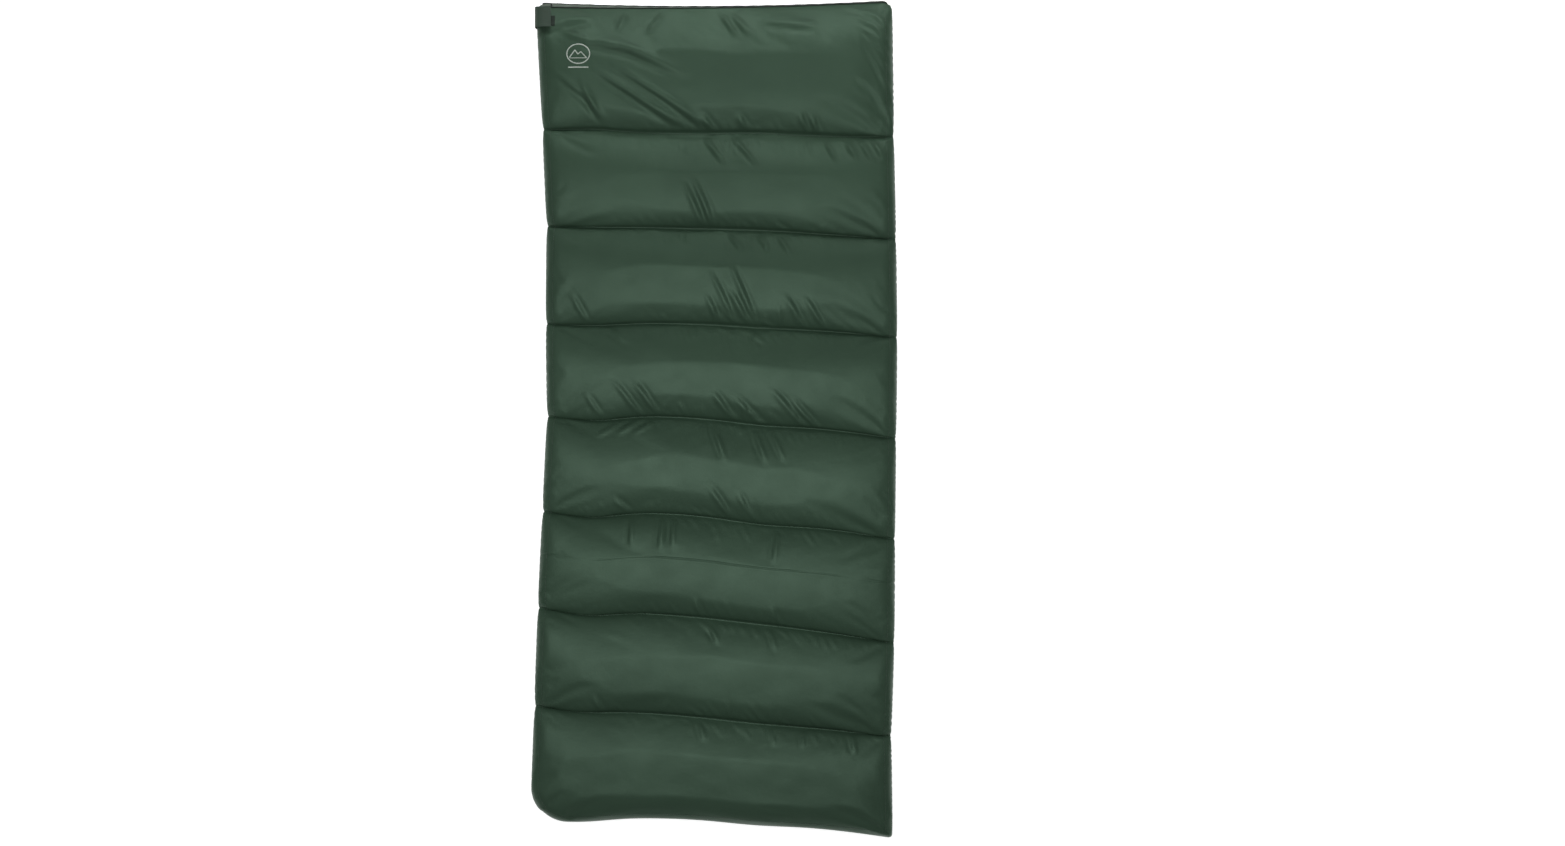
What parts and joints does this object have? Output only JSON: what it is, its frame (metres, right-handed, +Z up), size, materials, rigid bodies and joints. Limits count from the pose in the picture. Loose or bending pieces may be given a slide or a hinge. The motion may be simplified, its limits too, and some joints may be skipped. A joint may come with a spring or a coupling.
{
  "type": "rectangular sleeping bag",
  "caption": "Rectangular camping sleeping bag of two quilted, channelled layers with a side and foot zip and a hook-and-loop tab locking the slider.",
  "frame": {"origin": "under the middle of the bag's bounding box, on the surface the closed bag lies on", "axes": "+Y along the bag towards its mouth, +X towards the sewn side, +Z up from the bottom quilt to the top quilt"},
  "size_m": [0.8676, 1.9834, 0.0997],
  "materials": {
    "shell_fabric": "satin",
    "lining_fabric": "matte",
    "fill": "matte",
    "thread": "matte",
    "zip_tape": "matte",
    "zip_coil": "satin",
    "slider_metal": "satin",
    "webbing": "matte",
    "hook_and_loop": "matte",
    "binding": "matte"
  },
  "bodies": {
    "bottom_quilt": {"bottom_fill_1": "fill", "bottom_fill_2": "fill", "bottom_fill_3": "fill", "bottom_fill_4": "fill", "bottom_fill_5": "fill", "bottom_fill_6": "fill", "bottom_fill_7": "fill", "bottom_fill_8": "fill", "bottom_lining": "lining_fabric", "bottom_mouth_hem": "binding", "bottom_seam_1": "thread", "bottom_seam_2": "thread", "bottom_seam_3": "thread", "bottom_seam_4": "thread", "bottom_seam_5": "thread", "bottom_seam_6": "thread", "bottom_seam_7": "thread", "bottom_shell": "shell_fabric", "draft_tube": "lining_fabric", "lower_side_binding": "binding", "lower_top_stop": "slider_metal", "lower_zip_coil": "zip_coil", "lower_zip_tape": "zip_tape", "retainer_box": "slider_metal"},
    "top_quilt": {"insertion_pin": "slider_metal", "loop_patch": "hook_and_loop", "top_fill_1": "fill", "top_fill_2": "fill", "top_fill_3": "fill", "top_fill_4": "fill", "top_fill_5": "fill", "top_fill_6": "fill", "top_fill_7": "fill", "top_fill_8": "fill", "top_lining": "lining_fabric", "top_mouth_hem": "binding", "top_seam_1": "thread", "top_seam_2": "thread", "top_seam_3": "thread", "top_seam_4": "thread", "top_seam_5": "thread", "top_seam_6": "thread", "top_seam_7": "thread", "top_shell_foot": "shell_fabric", "top_shell_head": "shell_fabric", "upper_side_binding": "binding", "upper_top_stop": "slider_metal", "upper_zip_coil": "zip_coil", "upper_zip_tape": "zip_tape"},
    "zip_slider": {"zip_slider": "slider_metal"},
    "zip_pull": {"zip_pull": "slider_metal"},
    "tab_base": {"tab_base": "webbing"},
    "tab_flap": {"tab_flap": "webbing", "hook_patch": "hook_and_loop"}
  },
  "joints": [
    {"name": "open", "type": "hinge", "parent": "bottom_quilt", "child": "top_quilt", "pos_m": [0.43545, 0, 0.0482], "axis": [0, 1, 0], "range_deg": [0, 180]},
    {"name": "zip_slide", "type": "slide", "parent": "bottom_quilt", "child": "zip_slider", "axis": [0, -1, 0], "range_m": [0, 1.8]},
    {"name": "pull_turn", "type": "hinge", "parent": "zip_slider", "child": "zip_pull", "pos_m": [-0.39265, 0.97025, 0.0495], "axis": [0, 0, 1], "range_deg": [-85, 85]},
    {"name": "tab_root", "type": "hinge", "parent": "bottom_quilt", "child": "tab_base", "pos_m": [-0.42285, 0.94925, 0.045], "axis": [0, -1, 0], "range_deg": [0, 95]},
    {"name": "tab_bend", "type": "hinge", "parent": "tab_base", "child": "tab_flap", "pos_m": [-0.42285, 0.94925, 0.0989], "axis": [0, -1, 0], "range_deg": [0, 90]}
  ]
}
